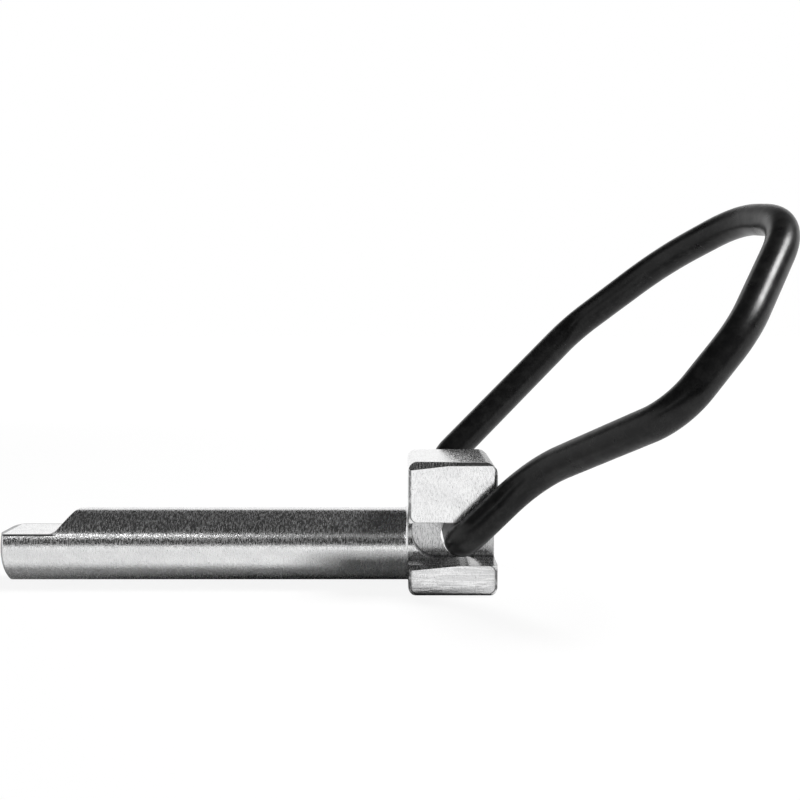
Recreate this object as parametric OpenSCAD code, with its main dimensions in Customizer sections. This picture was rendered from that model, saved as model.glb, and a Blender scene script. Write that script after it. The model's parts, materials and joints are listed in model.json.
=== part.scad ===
// Wire lock pin: a round pin with an offset square head and a sprung wire bail.
// The bail pivots in the head's cross hole and swings over until its bow drops
// on the flat at the pin's tip. Millimetres. The origin is on the pin's axis at
// the head's shoulder: the tip points to -X, the head to +X, the flat faces +Z.

/* [Pin] */
// Diameter of the round pin
pin_d = 10; // [8:0.1:12]
// Length of the pin from the head's shoulder to the tip
pin_len = 55.7; // [52:0.1:64]
// Length of the bowed chamfer at the tip, along the pin
tip_chamfer = 0.8; // [0.6:0.1:1.6]
// Depth of that chamfer across the pin
tip_bevel = 1.8; // [1.2:0.1:2]
// Radius of the chamfer's bow
tip_bow_r = 2.8; // [2.6:0.1:6]
// Height of the seat flat above the pin's axis
flat_height = 2; // [1:0.1:3]
// Length of the seat flat, from the tip to the foot of the ramp
flat_len = 7.5; // [7:0.1:9]
// Slope of the ramp from the flat up to the full round, in degrees
ramp_angle = 51; // [40:1:65]
// Radius of the hollow at the foot of the ramp
ramp_foot_r = 2; // [0.8:0.1:2.2]
// Radius of the round at the top of the ramp
ramp_top_r = 1.2; // [0.4:0.1:1.5]
// Radius of the small fillet between pin and head
neck_r = 0.6; // [0.3:0.1:0.6]

/* [Head] */
// Length of the head along the pin's axis
head_len = 11.85; // [11:0.05:14]
// Width of the head across the pin
head_w = 17.8; // [16:0.2:22]
// Height of the head
head_h = 17.8; // [16:0.1:20]
// How far the head reaches below the pin's axis
head_drop = 5.5; // [5.2:0.1:6.2]
// Radius of the head's corners, seen across the pin
head_corner_r = 1.2; // [0.6:0.1:2]
// Radius of the head's upper rear corner, seen across the pin
head_rear_r = 1.8; // [1.2:0.1:2.4]
// Radius of the head's long edges
head_edge_r = 0.5; // [0.3:0.1:1]
// Size of the sheared bevel on the head's upper edges, at the shoulder
upper_bevel = 1.1; // [0.5:0.1:1.6]
// Size of the sheared bevel on the lower jaw's edge, at the shoulder
lower_bevel = 0.7; // [0.3:0.1:1]

/* [Side slots and cross hole] */
// Thickness of the web left between the two side slots
web_t = 4; // [3:0.1:5]
// Height of each side slot
slot_h = 5.7; // [5.4:0.1:6.4]
// Depth of the slots' lower wall below the pin's axis
slot_drop = 1.45; // [1.2:0.05:1.8]
// Corner radius of the slot floor beside the shoulder
slot_corner_r = 3.6; // [3:0.1:4.2]
// Wall left between the shoulder and the slot floor
slot_lip = 0.45; // [0.2:0.05:1]
// Step down from the pin to its round end, where that reaches into the slots
slot_step = 0.25; // [0.2:0.05:0.5]
// Distance of the cross hole from the head's rear face
hole_back = 4.4; // [4.1:0.05:4.7]
// Height of the cross hole above the pin's axis
hole_z = 1.45; // [1.3:0.05:1.6]
// Play of the wire in the cross hole, on the diameter
hole_play = 1.6; // [1.2:0.1:1.8]

/* [Bail] */
// Diameter of the coated wire
wire_d = 4.3; // [4:0.1:4.6]
// Clearance between each leg of the bail and the head's side
leg_play = 0.3; // [0.1:0.05:1]
// Play left where the wire bears on the cross hole
bearing_gap = 0.1; // [0.05:0.01:0.2]
// Side of the hole that the wire bears on, in degrees above the pin's rear end
bearing_side = 142; // [90:1:160]
// Gap between the two wire ends inside the web
end_gap = 0.6; // [0.4:0.1:1]
// Radius of the bends from the cross hole to the legs, at the wire's centre
mouth_r = 3; // [2.5:0.1:3.4]
// Rise of the bail above the pin's axis as it stands, in degrees
bail_rise = 44.3; // [35:0.1:50]
// Twist of the bail about its own length, in degrees
bail_twist = 11.5; // [6:0.1:16]
// Straight run of the near leg along the head, from the cross hole
near_run = 13.2; // [12.5:0.1:16]
// Straight run of the far leg along the head, from the cross hole
far_run = 8.5; // [8:0.1:10]
// Rise of the far leg's run above the pin's axis, in degrees
far_rise = 102; // [95:0.5:108]
// How far the near leg flares out past its run
near_flare = 17.8; // [14:0.1:21]
// How far the far leg flares out past its run
far_flare = 11.5; // [9:0.1:15]
// Reach of the bail from the cross hole to the corners of its bow
bow_reach = 59.8; // [57:0.5:66]

/* [Hidden] */
$fn = 64;
// Fine margin by which a cut runs past the face that it opens
over = 1;
pin_r = pin_d/2;
wire_r = wire_d/2;
hole_r = (wire_d + hole_play)/2;
hole_x = head_len - hole_back;
// The wire bears on the upper front side of its loose hole
lean = hole_play/2 - bearing_gap;
pivot = [hole_x + lean*cos(bearing_side), 0, hole_z + lean*sin(bearing_side)];
// Half the spread of the two mouths, at the wire's centre
mouth_y = head_w/2 + leg_play + wire_r;
head_top = head_h - head_drop;
slot_top = slot_h - slot_drop;
// The wire's runs and bends stop this short of each other, inside a ball that
// stands this proud of the wire and makes them one
joint_gap = 0.05;
joint_proud = 0.01;
// A rounded corner's cut or fillet runs this far past its edges, and its circle
// lies this share of its radius from them, to cross them at a slight angle
past = 0.1;
set_in = 0.995;
// Upper and lower ends of the ramp
ramp_foot = -pin_len + flat_len;
ramp_head = ramp_foot + (pin_r - flat_height)/tan(ramp_angle);

function unit(v) = v/norm(v);

// Corner left between two edges that leave point k in directions a and b, with a
// circle of radius r set into it. It runs past both edges by a hair, so that it
// shares none of them
module corner_rest(k, a, b, r) {
  half = acos(unit(a)*unit(b))/2;
  inward = unit(unit(a) + unit(b));
  difference() {
    polygon([
      for (e = [unit(a), unit(b)]) k + e*r/tan(half),
      k + unit(b)*r/tan(half) + (unit(b)*cos(half) - inward)*past/sin(half),
      k - inward*past/sin(half),
      k + unit(a)*r/tan(half) + (unit(a)*cos(half) - inward)*past/sin(half)
    ]);
    translate(k + inward*r*set_in/sin(half)) circle(r = r);
  }
}

// Rectangle with rounded corners, from low to high
module round_rect(low, high, r) {
  translate([low[0] + r, low[1]]) square([high[0] - low[0] - 2*r, high[1] - low[1]]);
  translate([low[0], low[1] + r]) square([high[0] - low[0], high[1] - low[1] - 2*r]);
  for (x = [low[0] + r, high[0] - r], y = [low[1] + r, high[1] - r])
    translate([x, y]) circle(r = r);
}

// Turns a drawing with X along the pin and Y upwards into a solid across the pin
module across(width) {
  rotate([90, 0, 0]) linear_extrude(height = width, center = true) children();
}

// Side view of what the seat flat and its ramp take off the pin
module seat_side() {
  foot = [ramp_foot, flat_height];
  top = [ramp_head, pin_r];
  slope = [cos(ramp_angle), sin(ramp_angle)];
  difference() {
    polygon([
      [-pin_len - over, flat_height], foot, top + slope*over,
      [-pin_len - over, pin_r + slope[1]*over]
    ]);
    corner_rest(foot, [-1, 0], slope, ramp_foot_r);
  }
  corner_rest(top, [1, 0], -slope, ramp_top_r);
}

// Half section of the ring that the bowed chamfer takes off the tip, with Y along
// the pin: all that lies outside an arc from the pin's wall to its end face
module tip_rest() {
  wall = [pin_r, pin_len - tip_chamfer];
  face = [pin_r - tip_bevel, pin_len];
  chord = unit(face - wall);
  half = norm(face - wall)/2;
  back = sqrt(tip_bow_r*tip_bow_r - half*half);
  difference() {
    polygon([wall, wall + [over, 0], [pin_r + over, pin_len + over], face + [0, over], face]);
    translate((wall + face)/2 - [chord[1], -chord[0]]*back) circle(r = tip_bow_r);
  }
}

module shank() {
  difference() {
    translate([-pin_len, 0, 0]) rotate([0, 90, 0]) cylinder(h = pin_len, r = pin_r);
    rotate([0, -90, 0]) rotate_extrude() tip_rest();
    across(pin_d + 2*over) seat_side();
  }
}

// Fillet between pin and shoulder, which dies out where the two are nearly flush
module neck() {
  intersection() {
    rotate([0, 90, 0]) rotate_extrude()
      corner_rest([pin_r, 0], [1, 0], [0, -1], neck_r);
    translate([-pin_r, -pin_d, -0.9*pin_r]) cube([pin_r, 2*pin_d, 2*pin_d]);
  }
}

module head_block() {
  half = head_w/2;
  intersection() {
    across(head_w) difference() {
      round_rect([0, -head_drop], [head_len, head_top], head_corner_r);
      corner_rest([head_len, head_top], [-1, 0], [0, -1], head_rear_r);
    }
    translate([0, 0, -head_drop]) linear_extrude(height = head_h)
      round_rect([0, -half], [head_len, half], head_edge_r);
    rotate([90, 0, 90]) linear_extrude(height = head_len)
      round_rect([-half, -head_drop], [half, head_top], head_edge_r);
  }
}

// Wedge that shears an edge along X at height z on the near side: size wide at
// the shoulder, running out to nothing at a given length
module edge_wedge(z, size, run) {
  turn = atan(size*sqrt(0.5)/run);
  translate([0, -head_w/2, z]) rotate([45, 0, 0]) translate([0, 0, -size*sqrt(0.5)])
    rotate([0, -turn, 0]) translate([-over, -1.5*size, 0]) cube([run + 3*over, 3*size, 2*size]);
}

// The pin's round end, which reaches a little way into the slot, with the slot
// floor's corner swept out of it
module slot_end() {
  difference() {
    translate([-over, 0, 0]) rotate([0, 90, 0])
      cylinder(h = slot_lip + slot_corner_r + over, r = pin_r - slot_step);
    translate([slot_lip + slot_corner_r, 0, slot_corner_r - slot_drop])
      rotate([90, 0, 0]) cylinder(h = pin_r + over, r = slot_corner_r);
  }
}

module side_slot() {
  difference() {
    translate([-over, -head_w/2 - over, -slot_drop])
      cube([head_len + 2*over, head_w/2 + over - web_t/2, slot_h]);
    slot_end();
  }
}

module pin() {
  color("lightsteelblue") {
    shank();
    neck();
    difference() {
      head_block();
      for (side = [0, 1]) mirror([0, side, 0]) {
        side_slot();
        edge_wedge(head_top, upper_bevel, 0.82*head_len);
        edge_wedge(-slot_drop, lower_bevel, 0.6*head_len);
      }
      translate([hole_x, 0, hole_z]) rotate([90, 0, 0])
        cylinder(h = head_w + 2*over, r = hole_r, center = true);
    }
  }
}

// Directions along and across the bail, and its corner points with their radii
along = [cos(bail_rise), 0, sin(bail_rise)];
upright = [-sin(bail_rise), 0, cos(bail_rise)];
across_bail = [0, cos(bail_twist), 0] + upright*sin(bail_twist);
near_mouth = pivot - [0, mouth_y, 0];
far_mouth = pivot + [0, mouth_y, 0];
spread = 2*mouth_y;

// Point a along and b across the bail, counted from the near mouth
function on_bail(a, b) = near_mouth + along*a + across_bail*b;

corners = [
  [near_mouth, mouth_r],
  [on_bail(near_run, 0), 12.4],
  [on_bail(near_run + 0.94*near_flare, -near_flare), 6.7],
  [on_bail(0.716*bow_reach, -0.765*near_flare), 18.9],
  [on_bail(bow_reach, 0.045*spread), 15],
  [on_bail(0.983*bow_reach, 0.708*spread), 14.9],
  [on_bail(0.818*bow_reach, spread + 0.37*far_flare), 28.4],
  [on_bail(0.551*bow_reach, spread + far_flare), 8.2],
  [far_mouth + [cos(far_rise), 0, sin(far_rise)]*far_run, 4],
  [far_mouth, mouth_r]
];
route = concat(
  [pivot - [0, end_gap/2, 0]], [for (c = corners) c[0]], [pivot + [0, end_gap/2, 0]]
);

// Angle turned at corner i of the route, and the length of run that its bend takes
function turned(i) = acos(unit(route[i] - route[i - 1])*unit(route[i + 1] - route[i]));
function taken(i) = (i == 0 || i == len(route) - 1) ? 0 : corners[i - 1][1]*tan(turned(i)/2);

// Straight run from corner i to the next, with a ball where a bend takes over
module wire_run(i) {
  dir = unit(route[i + 1] - route[i]);
  low = i == 0 ? 0 : joint_gap;
  high = i == len(route) - 2 ? 0 : joint_gap;
  start = route[i] + dir*taken(i);
  length = norm(route[i + 1] - route[i]) - taken(i) - taken(i + 1);
  translate(start) rotate([0, acos(dir[2]), atan2(dir[1], dir[0])]) {
    translate([0, 0, low]) cylinder(h = length - low - high, r = wire_r);
    if (i > 0) sphere(r = wire_r + joint_proud);
    if (i < len(route) - 2) translate([0, 0, length]) sphere(r = wire_r + joint_proud);
  }
}

module wire_bend(i) {
  r = corners[i - 1][1];
  before = unit(route[i] - route[i - 1]);
  after = unit(route[i + 1] - route[i]);
  inward = unit(after - before);
  centre = route[i] + inward*r/cos(turned(i)/2);
  x = unit(route[i] - before*taken(i) - centre);
  z = cross(x, before);
  // angle by which the bend stops short inside the balls at its ends
  skip = joint_gap/r*180/PI;
  multmatrix([
    [x[0], before[0], z[0], centre[0]],
    [x[1], before[1], z[1], centre[1]],
    [x[2], before[2], z[2], centre[2]],
    [0, 0, 0, 1]
  ]) rotate([0, 0, skip]) rotate_extrude(angle = turned(i) - 2*skip)
    translate([r, 0]) circle(r = wire_r);
}

module wire_loop() {
  color("#26272a") {
    for (i = [0:len(route) - 2]) wire_run(i);
    for (i = [1:len(route) - 2]) wire_bend(i);
  }
}

pin();
wire_loop();
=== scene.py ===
"""Wire lock pin: the finish of the zinc-plated pin, the coated wire bail and the studio round them.

Lengths are in metres, in the part's own frame: the origin is on the pin's axis at the head's
shoulder, -X points to the tip, +Z to the side of the seat flat.
"""

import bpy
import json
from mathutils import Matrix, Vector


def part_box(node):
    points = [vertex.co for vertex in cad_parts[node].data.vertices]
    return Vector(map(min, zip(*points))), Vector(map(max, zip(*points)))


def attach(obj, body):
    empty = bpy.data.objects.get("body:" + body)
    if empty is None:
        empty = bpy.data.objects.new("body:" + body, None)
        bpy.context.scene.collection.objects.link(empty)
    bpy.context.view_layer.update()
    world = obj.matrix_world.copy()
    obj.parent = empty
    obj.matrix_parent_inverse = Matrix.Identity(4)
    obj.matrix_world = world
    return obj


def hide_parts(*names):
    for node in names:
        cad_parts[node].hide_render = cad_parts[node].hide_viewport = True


bl_info = {
    "name": "Wire Lock Pin",
    "version": (1, 0, 0),
    "blender": (4, 5, 0),
    "location": "3D View > Sidebar > Lock Pin",
    "description": "Finishes a wire lock pin with its sprung bail and lights it in a studio",
    "category": "Object",
}

import json
import math

import bpy
import numpy as np
from bpy.props import FloatProperty, FloatVectorProperty, IntProperty, PointerProperty

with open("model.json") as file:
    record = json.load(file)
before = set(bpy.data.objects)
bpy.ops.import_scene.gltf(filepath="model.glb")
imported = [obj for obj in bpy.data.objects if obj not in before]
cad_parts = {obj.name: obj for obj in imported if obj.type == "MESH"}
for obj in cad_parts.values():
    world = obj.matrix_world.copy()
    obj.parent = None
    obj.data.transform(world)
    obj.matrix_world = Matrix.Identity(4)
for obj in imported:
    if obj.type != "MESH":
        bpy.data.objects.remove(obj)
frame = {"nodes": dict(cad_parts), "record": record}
bpy.context.view_layer.update()
pin_low, pin_high = (np.array(corner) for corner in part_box("pin"))

MM = 0.001
SLOT_LOW, SLOT_HIGH = -1.45 * MM, 4.25 * MM
SWEEP_START, SWEEP_R = 0.45 * MM, 3.6 * MM


# Settings

def length(name, text, default, low=0.0):
    """A length in metres that the user may change."""
    return FloatProperty(name=name, description=text, default=default, min=low, unit="LENGTH", precision=5)


def angle(name, text, degrees):
    """An angle that the user may change, given in degrees."""
    return FloatProperty(name=name, description=text, default=math.radians(degrees), subtype="ANGLE")


def amount(name, text, default, high=1.0):
    """A plain number from nothing to its highest value."""
    return FloatProperty(name=name, description=text, default=default, min=0.0, max=high)


def colour(name, text, default):
    """A colour, given as linear red, green and blue."""
    return FloatVectorProperty(name=name, description=text, default=default, subtype="COLOR",
                               size=3, min=0.0, max=1.0)


class ZincSettings(bpy.types.PropertyGroup):
    """The plated steel of pin and head."""

    plate: colour("Plate", "Colour of the bright zinc plate", (0.91, 0.91, 0.912))
    dull: colour("Dull plate", "Colour of the plate's duller patches", (0.84, 0.84, 0.845))
    grain: length("Grain", "Width of the plate's grains", 0.34 * MM)
    turning: length("Turning pitch", "Pitch of the turning marks round the pin", 0.16 * MM)
    relief: length("Relief", "Height of the grains and marks", 0.02 * MM)
    # Colour of the jaw's streaks and of the web between the slots, where it is partly a duller finish and partly
    # painted shade
    streak_and_web_shade: colour("Bare web", "Colour of the duller web between the slots", (0.62, 0.62, 0.625))
    # Colour of the painted shade and dark lines on the head, the tip and the slot's lower wall
    painted_shade_and_lines: colour("Dirt", "Colour of the dirt in lines along the edges", (0.1, 0.1, 0.1))
    roughness: amount("Roughness", "Roughness of the smooth plate", 0.14)
    matt: amount("Matt specks", "Roughness of the matt specks in the plate", 0.36)
    oxide: amount("Clear specks", "How metallic the matt specks stay", 0.85)


class WireSettings(bpy.types.PropertyGroup):
    """The bail's wire, with the sizes that its solid has."""

    thickness: length("Wire", "Diameter of the coated wire", 4.3 * MM)
    play: length("Leg play", "Clearance between each leg and the head's side", 0.3 * MM)
    end_gap: length("End gap", "Gap between the wire's two ends inside the web", 0.6 * MM)
    mouth: length("Mouth bend", "Radius of the bends out of the cross hole", 3 * MM)
    rise: angle("Rise", "Rise of the standing bail above the pin's axis", 44.3)
    twist: angle("Twist", "Twist of the bail about its own length", 11.5)
    near_run: length("Near run", "Straight run of the near leg along the head", 13.2 * MM)
    far_run: length("Far run", "Straight run of the far leg along the head", 8.5 * MM)
    far_rise: angle("Far rise", "Rise of the far leg's run above the pin's axis", 102)
    near_flare: length("Near flare", "How far the near leg flares out", 17.8 * MM)
    far_flare: length("Far flare", "How far the far leg flares out", 11.5 * MM)
    reach: length("Reach", "Reach of the bail to the corners of its bow", 59.8 * MM)
    sides: IntProperty(name="Sides", description="Faces round the wire", default=48, min=12, max=96)
    step: length("Step", "Distance between two rings along the wire", 0.28 * MM)
    coat: colour("Coat", "Colour of the black coating", (0.0075, 0.0075, 0.0078))
    worn: colour("Worn coat", "Colour of the coating where it has gone grey", (0.017, 0.017, 0.017))
    roughness: amount("Roughness", "Roughness of the coating", 0.3)


class StageSettings(bpy.types.PropertyGroup):
    """Camera, floor, lamps and the cards that the metal mirrors."""

    lens: FloatProperty(name="Lens", description="Focal length for a 36 mm sensor", default=55.35,
                        min=10.0, subtype="DISTANCE_CAMERA")
    camera_back: length("Camera distance", "Distance of the camera in front of the pin's axis", 170 * MM)
    camera_height: length("Camera height", "Height of the camera above the pin's axis", 30.5 * MM)
    camera_side: FloatProperty(name="Camera side", description="Place of the camera along the pin",
                               default=-1.1 * MM, unit="LENGTH", precision=5)
    camera_pitch: angle("Camera pitch", "How far the camera looks down", 3.536)
    floor: colour("Floor", "Colour of the floor", (0.86, 0.86, 0.86))
    floor_size: length("Floor size", "Side of the square floor", 6.0)
    floor_glow: amount("Floor glow", "How white the camera sees the lit floor", 1.04, 2.0)
    ambient: amount("Ambient", "Strength of the even light from all round", 0.12, 4.0)
    key_power: FloatProperty(name="Key lamp", description="Power of the key lamp", default=4.3, min=0.0,
                             unit="POWER")
    card_distance: length("Card distance", "Distance of the cards from the pin's axis", 420 * MM)


# Meshes

def grid_mesh(name, points, ring=False, caps=False):
    """A mesh from a grid of points, shape (rows, columns, 3).

    Four neighbouring points make a face. With ring, the last column joins the first, and with caps
    a fan about the row's middle closes the first and the last row.
    """
    rows, columns = points.shape[:2]
    index = np.arange(rows * columns).reshape(rows, columns)
    after = np.roll(index, -1, axis=1) if ring else index[:, 1:]
    here = index if ring else index[:, :-1]
    quads = np.stack([here[:-1], after[:-1], after[1:], here[1:]], axis=-1).reshape(-1, 4)
    vertices = points.reshape(-1, 3)
    faces = quads.tolist()
    if caps:
        first, last = len(vertices), len(vertices) + 1
        vertices = np.vstack([vertices, points[0].mean(axis=0), points[-1].mean(axis=0)])
        start = np.stack([after[0], here[0], np.full(columns, first)], axis=-1)
        end = np.stack([here[-1], after[-1], np.full(columns, last)], axis=-1)
        faces += start.tolist() + end.tolist()
    mesh = bpy.data.meshes.new(name)
    mesh.from_pydata(vertices.tolist(), [], faces)
    mesh.polygons.foreach_set("use_smooth", np.arange(len(faces)) < len(quads))
    mesh.update()
    return mesh


def add_object(name, data):
    """Puts data into the scene as an object at the origin, unturned."""
    thing = bpy.data.objects.new(name, data)
    bpy.context.scene.collection.objects.link(thing)
    return thing


def unit(vector):
    """The vector, or each row of them, at length one."""
    return vector / np.linalg.norm(vector, axis=-1, keepdims=True)


def bent_path(corners, radii, step):
    """Points a step apart along a path of straight runs and tangent bends.

    At a corner with turning angle t and radius r the path leaves the first edge r*tan(t/2) before
    the corner. The bend's points are centre + r*(x*cos(a) + y*sin(a)) for a from 0 to t, where x
    points from the centre to the bend's start and y along the first edge.
    """
    pieces = [corners[:1]]
    for corner, before, after, radius in zip(corners[1:-1], corners[:-2], corners[2:], radii):
        along, away = unit(corner - before), unit(after - corner)
        turn = math.acos(float(along @ away))
        start = corner - along * radius * math.tan(turn / 2)
        centre = corner + unit(away - along) * radius / math.cos(turn / 2)
        angles = np.linspace(0, turn, 25)[:, None]
        pieces.append(centre + radius * (unit(start - centre) * np.cos(angles) + along * np.sin(angles)))
    pieces.append(corners[-1:])
    line = np.vstack(pieces)
    run = np.concatenate([[0], np.cumsum(np.linalg.norm(np.diff(line, axis=0), axis=1))])
    even = np.linspace(0, run[-1], int(run[-1] / step) + 1)
    return np.stack([np.interp(even, run, line[:, axis]) for axis in range(3)], axis=1)


def tube(name, line, radius, sides, upright):
    """A round tube about a line: line + radius*(side*cos(a) + top*sin(a)).

    The tangent comes from the line's neighbouring points, side is at right angles to it and to
    upright, and top is at right angles to both.
    """
    tangent = unit(np.gradient(line, axis=0))
    side = unit(np.cross(tangent, upright))
    top = np.cross(side, tangent)
    angles = np.linspace(0, 2 * math.pi, sides, endpoint=False)[None, :, None]
    points = line[:, None] + radius * (side[:, None] * np.cos(angles) + top[:, None] * np.sin(angles))
    return grid_mesh(name, points, ring=True, caps=True)


# Materials

class Shader:
    """A small helper that adds nodes to a material and joins them."""

    def __init__(self, name):
        self.material = bpy.data.materials.new(name)
        self.material.use_nodes = True
        self.tree = self.material.node_tree
        self.principled = self.tree.nodes["Principled BSDF"]
        self.output = self.tree.nodes["Material Output"]

    def node(self, kind, **settings):
        """A node of a kind, with its own settings such as operation or blend_type."""
        made = self.tree.nodes.new("ShaderNode" + kind)
        for key, value in settings.items():
            setattr(made, key, value)
        return made

    def join(self, source, socket):
        """Links a source to a socket, or sets the socket where the source is a number or colour."""
        if isinstance(source, bpy.types.NodeSocket):
            self.tree.links.new(source, socket)
        else:
            socket.default_value = source

    def place(self, pitch):
        """Object coordinates divided by a pitch in metres, one for each axis."""
        where = self.node("TexCoord")
        mapping = self.node("Mapping")
        self.join(where.outputs["Object"], mapping.inputs["Vector"])
        mapping.inputs["Scale"].default_value = [1 / p for p in pitch]
        return mapping.outputs["Vector"]

    def noise(self, pitch, detail=3.0, roughness=0.55):
        """Noise from nothing to one, whose waves have the pitch given along each axis."""
        made = self.node("TexNoise")
        self.join(self.place(pitch), made.inputs["Vector"])
        made.inputs["Scale"].default_value = 1.0
        made.inputs["Detail"].default_value = detail
        made.inputs["Roughness"].default_value = roughness
        return made.outputs["Fac"]

    def maths(self, operation, first, second=0.5, third=0.5):
        """The result of a sum, product or other operation on two or three values."""
        made = self.node("Math", operation=operation)
        for source, socket in zip((first, second, third), made.inputs):
            self.join(source, socket)
        return made.outputs["Value"]

    def ramp(self, source, low, high, bottom=0.0, top=1.0):
        """The source, mapped smoothly from low..high to bottom..top."""
        made = self.node("MapRange", interpolation_type="SMOOTHSTEP")
        for value, name in ((source, "Value"), (low, "From Min"), (high, "From Max"),
                            (bottom, "To Min"), (top, "To Max")):
            self.join(value, made.inputs[name])
        return made.outputs["Result"]

    def blend(self, share, first, second):
        """The mix of two colours by a share."""
        made = self.node("Mix", data_type="RGBA")
        self.join(share, made.inputs["Factor"])
        self.join(first, made.inputs["A"])
        self.join(second, made.inputs["B"])
        return made.outputs["Result"]

    def band(self, source, low, high, soft):
        """One where the source lies between low and high, falling to nothing within soft of them."""
        rise = self.ramp(source, low - soft, low + soft)
        return self.maths("MULTIPLY", rise, self.ramp(source, high - soft, high + soft, 1.0, 0.0))

    def inside(self, place, low, high):
        """How deep a place lies between low and high, counted from the nearer of the two."""
        off = self.maths("ABSOLUTE", self.maths("SUBTRACT", place, (low + high) / 2))
        return self.maths("SUBTRACT", (high - low) / 2, off)

    def rounded(self, depths, radius):
        """Distance inside an outline whose corners have a radius, from the depths inside its sides.

        It is radius - sqrt(sum of max(radius - depth, 0) squared). With three depths one is that of
        the face itself, which is nothing and adds a radius squared, so that is taken off again.
        """
        total = -radius * radius if len(depths) == 3 else 0.0
        for depth in depths:
            short = self.maths("MAXIMUM", self.maths("SUBTRACT", radius, depth), 0.0)
            total = self.maths("MULTIPLY_ADD", short, short, total)
        return self.maths("SUBTRACT", radius, self.maths("SQRT", self.maths("MAXIMUM", total, 0.0)))

    def axis(self, letter):
        """One object coordinate, in metres."""
        where = self.node("TexCoord")
        parts = self.node("SeparateXYZ")
        self.join(where.outputs["Object"], parts.inputs["Vector"])
        return parts.outputs[letter]

    def reach(self, pitch):
        """Distance from the object's origin in metres, with each axis divided by its pitch."""
        far = self.node("VectorMath", operation="LENGTH")
        self.join(self.place(pitch), far.inputs[0])
        return far.outputs["Value"]

    def near(self, spot, size):
        """One at a spot, falling to nothing at the distance given for each axis."""
        where = self.node("TexCoord")
        mapping = self.node("Mapping", vector_type="TEXTURE")
        self.join(where.outputs["Object"], mapping.inputs["Vector"])
        mapping.inputs["Location"].default_value = spot
        mapping.inputs["Scale"].default_value = size
        far = self.node("VectorMath", operation="LENGTH")
        self.join(mapping.outputs["Vector"], far.inputs[0])
        return self.ramp(far.outputs["Value"], 0.35, 1.0, 1.0, 0.0)


def rgba(colour):
    """A colour with full alpha."""
    return (*colour, 1.0)


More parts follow.
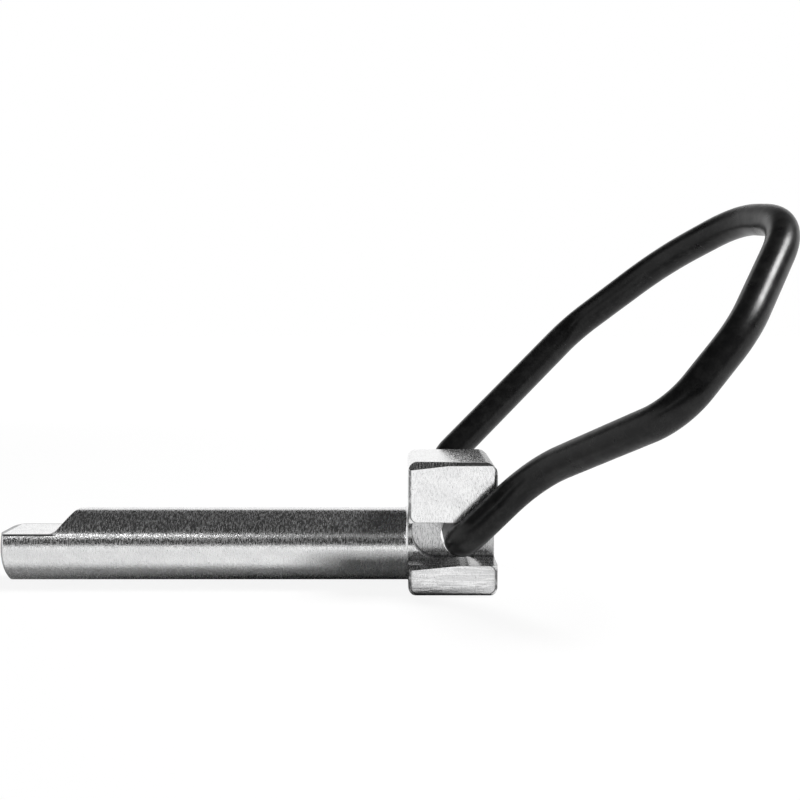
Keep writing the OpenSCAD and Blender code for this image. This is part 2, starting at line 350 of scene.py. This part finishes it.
def zinc_plate(settings):
    """Bright zinc on machined steel: grains and turning marks on the pin, streaks on the head, and painted shade and
    dark lines on the head and the tip.
    """
    shader = Shader("zinc_plate")
    grain, turning = settings.grain, settings.turning
    x, y, z = (shader.axis(letter) for letter in "XYZ")
    side = shader.maths("ABSOLUTE", y)
    on_head = shader.ramp(x, -0.6 * MM, 0.1 * MM)
    grains = shader.noise((grain, grain, grain), 5.0, 0.65)
    rings = shader.noise((turning, 20 * turning, 20 * turning), 2.0)
    specks = shader.noise((0.14 * MM, 0.55 * MM, 0.55 * MM), 2.0, 0.7)
    swells = shader.noise((3 * MM, 2 * MM, 2 * MM), 3.0)
    pits = shader.ramp(shader.noise((0.5 * MM, 0.5 * MM, 0.5 * MM), 2.0), 0.7, 0.76)

    # The jaw below the slots is drawn in long strokes. The web between the slots is painted darker: partly a duller
    # finish, partly painted shade in the recess
    in_slot = shader.band(z, SLOT_LOW, SLOT_HIGH, 0.04 * MM)
    on_jaw = shader.maths("MULTIPLY", on_head, shader.ramp(z, SLOT_LOW - 0.15 * MM, SLOT_LOW - 0.05 * MM, 1.0, 0.0))
    strokes = shader.noise((3.2 * MM, 0.3 * MM, 0.22 * MM), 3.0, 0.6)
    streaks = shader.maths("MULTIPLY", on_jaw, shader.ramp(strokes, 0.4, 0.62))
    on_web = shader.maths("MULTIPLY", on_head, shader.ramp(side, 2.2 * MM, 2.6 * MM, 1.0, 0.0))
    web = shader.maths("MULTIPLY", on_web, in_slot)
    # Painted shade on the slot's lower wall, the jaw's top face inside the slot
    painted_slot_wall_shade = shader.maths("MULTIPLY", on_head, shader.band(z, SLOT_LOW - 0.03 * MM, SLOT_LOW + 0.03 * MM, 0.02 * MM))
    painted_slot_wall_shade = shader.maths("MULTIPLY", painted_slot_wall_shade, 0.55)

    # Painted shade and dark lines: a broken painted dark reflection round the head's faces, painted shade in the
    # slot's corner, a dark line along the seat flat and a painted dark reflection on the tip's chamfer
    blocks = shader.maths("MAXIMUM", shader.inside(z, pin_low[2], SLOT_LOW + 0.35 * MM),
                          shader.inside(z, SLOT_HIGH - 0.32 * MM, pin_high[2]))
    depths = (shader.inside(x, 0.0, pin_high[0]), shader.inside(y, pin_low[1], pin_high[1]), blocks)
    edge = shader.rounded(depths, 1.2 * MM)
    # Painted dark reflection: a broken dark line a little inside the head's rounded edges
    line = shader.band(edge, 0.27 * MM, 0.4 * MM, 0.07 * MM)
    broken = shader.ramp(shader.noise((0.9 * MM, 0.9 * MM, 0.9 * MM), 3.0, 0.7), 0.3, 0.55, 0.3, 0.9)
    line = shader.maths("MULTIPLY", shader.maths("MULTIPLY", line, broken), on_head)
    sweep = shader.rounded((shader.maths("SUBTRACT", x, SWEEP_START), shader.maths("SUBTRACT", z, SLOT_LOW)), SWEEP_R)
    # Painted shade: a dark line in the corner where the web meets the slot's round end
    corner = shader.maths("MULTIPLY", web, shader.ramp(sweep, 0.08 * MM, 0.2 * MM, 0.7, 0.0))
    on_seat = shader.ramp(x, -48.4 * MM, -47.6 * MM, 1.0, 0.0)
    # A dark line along the edge of the seat flat at the tip
    seat_edge_line = shader.maths("MULTIPLY", shader.band(z, 1.76 * MM, 2.04 * MM, 0.05 * MM), shader.ramp(side, 4.2 * MM, 4.4 * MM))
    seat_edge_line = shader.maths("MULTIPLY", seat_edge_line, on_seat)
    # Painted dark reflection on the tip's chamfer
    painted_chamfer_shade = shader.ramp(x, pin_low[0] + 0.5 * MM, pin_low[0] + 0.8 * MM, 0.75, 0.0)
    # Painted dark reflection on the head's rear top edge, kept off the side faces and broken by the specks
    painted_rear_edge_shade = shader.maths("MULTIPLY", shader.ramp(x, pin_high[0] - 1.9 * MM, pin_high[0] - 1.1 * MM),
                          shader.ramp(z, pin_high[2] - 2.0 * MM, pin_high[2] - 1.3 * MM))
    painted_rear_edge_shade = shader.maths("MULTIPLY", painted_rear_edge_shade, shader.ramp(side, pin_high[1] - 0.3 * MM, pin_high[1] - 0.1 * MM, 1.0, 0.0))
    painted_rear_edge_shade = shader.maths("MULTIPLY", painted_rear_edge_shade, shader.ramp(specks, 0.35, 0.62, 0.45, 0.95))
    # All painted shade and dark lines in one mask
    painted_shade_and_lines = shader.maths("MAXIMUM", shader.maths("MAXIMUM", line, seat_edge_line), shader.maths("MAXIMUM", painted_chamfer_shade, corner))
    painted_shade_and_lines = shader.maths("MAXIMUM", painted_shade_and_lines, painted_rear_edge_shade)

    height = shader.maths("MULTIPLY_ADD", rings, 0.35, grains)
    on_face = shader.maths("MULTIPLY_ADD", streaks, 0.35, shader.maths("MULTIPLY", grains, 0.3))
    on_face = shader.maths("MULTIPLY_ADD", pits, -0.6, on_face)
    relief = shader.node("Mix", data_type="FLOAT")
    shader.join(on_head, relief.inputs["Factor"])
    shader.join(height, relief.inputs["A"])
    shader.join(on_face, relief.inputs["B"])
    bump = shader.node("Bump")
    bump.inputs["Distance"].default_value = settings.relief
    shader.join(relief.outputs["Result"], bump.inputs["Height"])

    dull = shader.maths("MULTIPLY_ADD", pits, 0.4, shader.ramp(swells, 0.38, 0.66, 0.0, 0.9))
    dull = shader.maths("MAXIMUM", dull, shader.maths("MULTIPLY", streaks, 0.8))
    paint = shader.blend(dull, rgba(settings.plate), rgba(settings.dull))
    paint = shader.blend(shader.maths("MULTIPLY", streaks, 0.55), paint, rgba(settings.streak_and_web_shade))
    # The web between the slots: partly a duller finish, partly painted shade in the recess
    paint = shader.blend(web, paint, rgba(settings.streak_and_web_shade))
    # Painted shade on the slot's lower wall
    paint = shader.blend(painted_slot_wall_shade, paint, rgba(settings.painted_shade_and_lines))
    # Painted shade and dark lines
    paint = shader.blend(painted_shade_and_lines, paint, rgba(settings.painted_shade_and_lines))
    surface = shader.principled
    shader.join(paint, surface.inputs["Base Color"])
    # The specks hardly show on the head's smooth side faces
    smooth = shader.ramp(side, pin_high[1] - 0.1 * MM, pin_high[1] - 0.03 * MM, 1.0, 0.7)
    spots = shader.maths("MULTIPLY", smooth, shader.ramp(specks, 0.38, 0.7))
    matt = shader.maths("MULTIPLY_ADD", spots, settings.matt - settings.roughness, settings.roughness)
    shader.join(shader.maths("MAXIMUM", matt, shader.maths("MULTIPLY", painted_shade_and_lines, 0.4)), surface.inputs["Roughness"])
    shader.join(bump.outputs["Normal"], surface.inputs["Normal"])
    shader.join(shader.maths("MULTIPLY_ADD", spots, settings.oxide - 1.0, 1.0), surface.inputs["Metallic"])
    return shader.material


def black_coat(settings):
    """Satin black coating with a fine skin, faint drawing marks and a few specks of dust."""
    shader = Shader("black_coat")
    skin = shader.noise((0.25 * MM, 0.25 * MM, 0.25 * MM), 4.0)
    swells = shader.noise((3 * MM, 3 * MM, 3 * MM), 2.0)
    dust = shader.ramp(shader.noise((0.45 * MM, 0.45 * MM, 0.45 * MM), 1.0), 0.8, 0.84)
    bump = shader.node("Bump")
    bump.inputs["Distance"].default_value = 0.007 * MM
    shader.join(shader.maths("MULTIPLY_ADD", swells, 6.0, skin), bump.inputs["Height"])
    surface = shader.principled
    patches = shader.ramp(shader.noise((1.6 * MM, 1.6 * MM, 1.6 * MM), 4.0, 0.7), 0.42, 0.66)
    coat = shader.blend(patches, rgba(settings.coat), rgba(settings.worn))
    shader.join(shader.blend(dust, coat, (0.09, 0.09, 0.09, 1)), surface.inputs["Base Color"])
    shader.join(shader.ramp(swells, 0.3, 0.7, settings.roughness * 0.9, settings.roughness * 1.15),
                surface.inputs["Roughness"])
    surface.inputs["Specular IOR Level"].default_value = 0.26
    shader.join(bump.outputs["Normal"], surface.inputs["Normal"])
    return shader.material


def floor_paint(settings):
    """Pale floor that the camera sees as white, with the object's shadow kept on it, and painted shadow that only
    reflections show.
    """
    shader = Shader("floor_paint")
    tree = shader.tree
    tree.nodes.remove(shader.principled)
    path = shader.node("LightPath")
    diffuse = shader.node("BsdfDiffuse")
    # Painted shadow: for glossy rays the floor is painted darker right below the pin and in a patch in front of the
    # head, so metal mirrors it darker there
    off_axis = shader.maths("ABSOLUTE", shader.axis("Y"))
    below = shader.ramp(off_axis, 1.2 * MM, 4.2 * MM, 0.8, 0.0)
    painted_head_shadow = shader.near((-2 * MM, -14 * MM, pin_low[2]), (17 * MM, 26 * MM, 1))
    painted_head_shadow = shader.maths("MULTIPLY", painted_head_shadow, 0.5)
    below = shader.maths("MULTIPLY", path.outputs["Is Glossy Ray"], shader.maths("MAXIMUM", below, painted_head_shadow))
    shader.join(shader.blend(below, rgba(settings.floor), (0.05, 0.05, 0.05, 1)), diffuse.inputs["Color"])
    glow = shader.node("Emission")
    glow.inputs["Strength"].default_value = settings.floor_glow
    straight = shader.maths("MAXIMUM", path.outputs["Is Camera Ray"], path.outputs["Is Transmission Ray"])
    away = shader.reach((2.5, 1, 1))
    seen = shader.maths("MULTIPLY", straight, shader.ramp(away, 0.1, 0.5, 0.86, 1.0))
    mirrored = shader.maths("MULTIPLY", path.outputs["Is Glossy Ray"], shader.ramp(away, 0.009, 0.085, 0.0, 1.0))
    # The painted head shadow also takes the glow out of the mirrored floor there
    mirrored = shader.maths("MULTIPLY", mirrored, shader.maths("SUBTRACT", 1.0, painted_head_shadow))
    seen = shader.maths("MAXIMUM", seen, mirrored)
    mix = shader.node("MixShader")
    shader.join(seen, mix.inputs["Fac"])
    shader.join(diffuse.outputs["BSDF"], mix.inputs[1])
    shader.join(glow.outputs["Emission"], mix.inputs[2])
    shader.join(mix.outputs["Shader"], shader.output.inputs["Surface"])
    return shader.material


def card_paint(name, strength):
    """A card of one even grey, given as the light that it sends out."""
    shader = Shader(name)
    shader.tree.nodes.remove(shader.principled)
    glow = shader.node("Emission")
    glow.inputs["Strength"].default_value = strength
    shader.join(glow.outputs["Emission"], shader.output.inputs["Surface"])
    return shader.material


# Pieces

def bail_corners(s):
    """The corners of the bail's centre line and their bend radii, from the head's box and the sizes.

    Point (a, b) of the bail lies a along it and b across it, counted from where the near leg leaves
    the cross hole.
    """
    joint = frame["record"]["behaviour"]["joints"][0]
    pivot = np.array(joint["pos_m"])
    mouth = (pin_high[1] - pin_low[1]) / 2 + s.play + s.thickness / 2
    sideways = np.array([0.0, 1.0, 0.0])
    along = np.array([math.cos(s.rise), 0, math.sin(s.rise)])
    upright = np.array([-math.sin(s.rise), 0, math.cos(s.rise)])
    across = sideways * math.cos(s.twist) + upright * math.sin(s.twist)
    far_leg = np.array([math.cos(s.far_rise), 0, math.sin(s.far_rise)])
    near, far = pivot - sideways * mouth, pivot + sideways * mouth
    spread = 2 * mouth
    bail = [
        (s.near_run, 0, 12.4 * MM),
        (s.near_run + 0.94 * s.near_flare, -s.near_flare, 6.7 * MM),
        (0.716 * s.reach, -0.765 * s.near_flare, 18.9 * MM),
        (s.reach, 0.045 * spread, 15 * MM),
        (0.983 * s.reach, 0.708 * spread, 14.9 * MM),
        (0.818 * s.reach, spread + 0.37 * s.far_flare, 28.4 * MM),
        (0.551 * s.reach, spread + s.far_flare, 8.2 * MM),
    ]
    points = [near + along * a + across * b for a, b, _ in bail]
    ends = sideways * s.end_gap / 2
    corners = [pivot - ends, near, *points, far + far_leg * s.far_run, far, pivot + ends]
    radii = [s.mouth, *(radius for _, _, radius in bail), 4 * MM, s.mouth]
    return np.array(corners), radii, np.cross(along, across)


class LOCKPIN_OT_pin(bpy.types.Operator):
    """Give the pin and its head their zinc plate"""

    bl_idname = "lockpin.pin"
    bl_label = "Finish Pin"

    def execute(self, context):
        slot = frame["nodes"]["pin"].material_slots[0]
        slot.material = zinc_plate(context.scene.lockpin_zinc)
        return {"FINISHED"}


class LOCKPIN_OT_bail(bpy.types.Operator):
    """Sweep the coated wire bail along its bent route"""

    bl_idname = "lockpin.bail"
    bl_label = "Make Bail"

    def execute(self, context):
        s = context.scene.lockpin_wire
        corners, radii, upright = bail_corners(s)
        line = bent_path(corners, radii, s.step)
        bail = add_object("wire_bail", tube("wire_bail", line, s.thickness / 2, s.sides, upright))
        bail.data.materials.append(black_coat(s))
        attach(bail, "bail")
        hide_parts("wire_loop")
        return {"FINISHED"}


def mirrored_only(name, points, strength):
    """A glowing card from a grid of points, which the camera and the light don't see."""
    card = add_object(name, grid_mesh(name, points))
    card.data.materials.append(card_paint(name, strength))
    card.visible_camera = False
    card.visible_diffuse = False
    card.visible_shadow = False
    return card


def curved_card(name, low, high, strength, distance, half_width=0.6, middle=0.0):
    """A card bent about the pin's axis: (x, -distance*cos(a), distance*sin(a)).

    The angle a rises from low to high, in degrees from the front horizon, and x runs along the pin.
    Only reflections show the card.
    """
    a = np.radians(np.linspace(low, high, 33))[:, None]
    x = np.linspace(middle - half_width, middle + half_width, 3)[None, :]
    points = np.stack(np.broadcast_arrays(x, -distance * np.cos(a), distance * np.sin(a)), axis=-1)
    return mirrored_only(name, points, strength)


def low_card(name, left, right, front, back, height, strength):
    """A level card from left to right and from front to back, at a height just above the floor.

    Only reflections show it.
    """
    x, y = np.meshgrid([left, right], [front, back])
    return mirrored_only(name, np.stack([x, y, np.full_like(x, height)], axis=-1), strength)


def flat_card(name, place, target, size, strength):
    """A square card at a place, turned to a target: place + side*u + top*v for u and v within size/2.

    Only reflections show it.
    """
    facing = unit(np.array(target, float) - np.array(place, float))
    side = unit(np.cross(facing, (0.0, 1.0, 0.0) if abs(facing[2]) > 0.9 else (0.0, 0.0, 1.0)))
    top = np.cross(side, facing)
    u, v = np.meshgrid([-size / 2, size / 2], [-size / 2, size / 2])
    points = np.array(place) + side * u[..., None] + top * v[..., None]
    return mirrored_only(name, points, strength)


def area_lamp(name, place, target, size, power):
    """A square soft lamp that shines from a place to a target, and that nothing mirrors."""
    lamp = bpy.data.lights.new(name, "AREA")
    lamp.size = size
    lamp.energy = power
    holder = add_object(name, lamp)
    holder.location = place
    away = np.array(place) - np.array(target)
    holder.rotation_euler = (math.atan2(math.hypot(away[0], away[1]), away[2]), 0,
                             math.atan2(away[1], away[0]) + math.pi / 2)
    holder.visible_glossy = False
    return holder


class LOCKPIN_OT_stage(bpy.types.Operator):
    """Set up the camera, the floor, the lamps and the cards"""

    bl_idname = "lockpin.stage"
    bl_label = "Set Stage"

    def execute(self, context):
        s = context.scene.lockpin_stage
        data = bpy.data.cameras.new("camera")
        data.lens = s.lens
        data.sensor_width = 36
        data.clip_start = 0.005
        camera = add_object("camera", data)
        camera.location = (s.camera_side, -s.camera_back, s.camera_height)
        camera.rotation_euler = (math.pi / 2 - s.camera_pitch, 0, 0)
        context.scene.camera = camera

        half = s.floor_size / 2
        span = np.linspace(-half, half, 3)
        x, y = np.meshgrid(span, span)
        flat = grid_mesh("floor", np.stack([x, y, np.full_like(x, pin_low[2])], axis=-1))
        floor = add_object("floor", flat)
        floor.data.materials.append(floor_paint(s))

        curved_card("card_front", 2, 30.2, 0.03, s.card_distance)
        curved_card("card_strip", 31.2, 33.8, 5.6, s.card_distance, 0.255, -0.345)
        curved_card("card_strip_dim", 30.6, 34.4, 0.35, s.card_distance, 0.345, 0.255)
        curved_card("card_overhead", 34.8, 143, 0.03, s.card_distance, 0.9, 0.3)
        low_card("card_jaw", 0.5 * MM, 12.5 * MM, -30 * MM, -12 * MM, pin_low[2] + 0.3 * MM, 0.98)
        area_lamp("key_lamp", (0.36, 0.06, 0.50), (0, 0, 0), 0.22, s.key_power)
        flat_card("card_streak", (0.255, -0.02, 0.31), (0.035, 0, 0.03), 0.11, 36.0)

        world = bpy.data.worlds.new("studio")
        context.scene.world = world
        world.use_nodes = True
        tree = world.node_tree
        background = tree.nodes["Background"]
        path = tree.nodes.new("ShaderNodeLightPath")
        background.inputs["Color"].default_value = (1, 1, 1, 1)
        total = path.outputs["Is Camera Ray"]
        for name in ("Is Glossy Ray", "Is Transmission Ray"):
            add = tree.nodes.new("ShaderNodeMath")
            add.operation = "MAXIMUM"
            tree.links.new(total, add.inputs[0])
            tree.links.new(path.outputs[name], add.inputs[1])
            total = add.outputs["Value"]
        level = tree.nodes.new("ShaderNodeMapRange")
        tree.links.new(total, level.inputs["Value"])
        level.inputs["To Min"].default_value = s.ambient
        level.inputs["To Max"].default_value = 1.0
        tree.links.new(level.outputs["Result"], background.inputs["Strength"])
        context.scene.view_settings.view_transform = "Standard"
        return {"FINISHED"}


class LOCKPIN_PT_panel(bpy.types.Panel):
    """The lock pin's sizes, finishes and steps"""

    bl_idname = "LOCKPIN_PT_panel"
    bl_label = "Lock Pin"
    bl_space_type = "VIEW_3D"
    bl_region_type = "UI"
    bl_category = "Lock Pin"

    def draw(self, context):
        for title, group, operator in PANEL_ROWS:
            box = self.layout.box()
            box.label(text=title)
            settings = getattr(context.scene, group)
            for name in settings.__annotations__:
                box.prop(settings, name)
            box.operator(operator)


PANEL_ROWS = (
    ("Pin", "lockpin_zinc", "lockpin.pin"),
    ("Bail", "lockpin_wire", "lockpin.bail"),
    ("Stage", "lockpin_stage", "lockpin.stage"),
)
GROUPS = {"lockpin_zinc": ZincSettings, "lockpin_wire": WireSettings, "lockpin_stage": StageSettings}
OPERATORS = (LOCKPIN_OT_pin, LOCKPIN_OT_bail, LOCKPIN_OT_stage)


def register():
    """Registers the classes and hangs the settings on the scene."""
    for cls in (*GROUPS.values(), *OPERATORS, LOCKPIN_PT_panel):
        bpy.utils.register_class(cls)
    for name, cls in GROUPS.items():
        setattr(bpy.types.Scene, name, PointerProperty(type=cls))


def unregister():
    """Takes the settings and classes away again."""
    for name in GROUPS:
        delattr(bpy.types.Scene, name)
    for cls in (LOCKPIN_PT_panel, *OPERATORS, *reversed(GROUPS.values())):
        bpy.utils.unregister_class(cls)


def main():
    register()
    bpy.ops.lockpin.stage()
    bpy.ops.lockpin.pin()
    bpy.ops.lockpin.bail()
    bpy.context.view_layer.update()


if __name__ == "__main__":
    main()
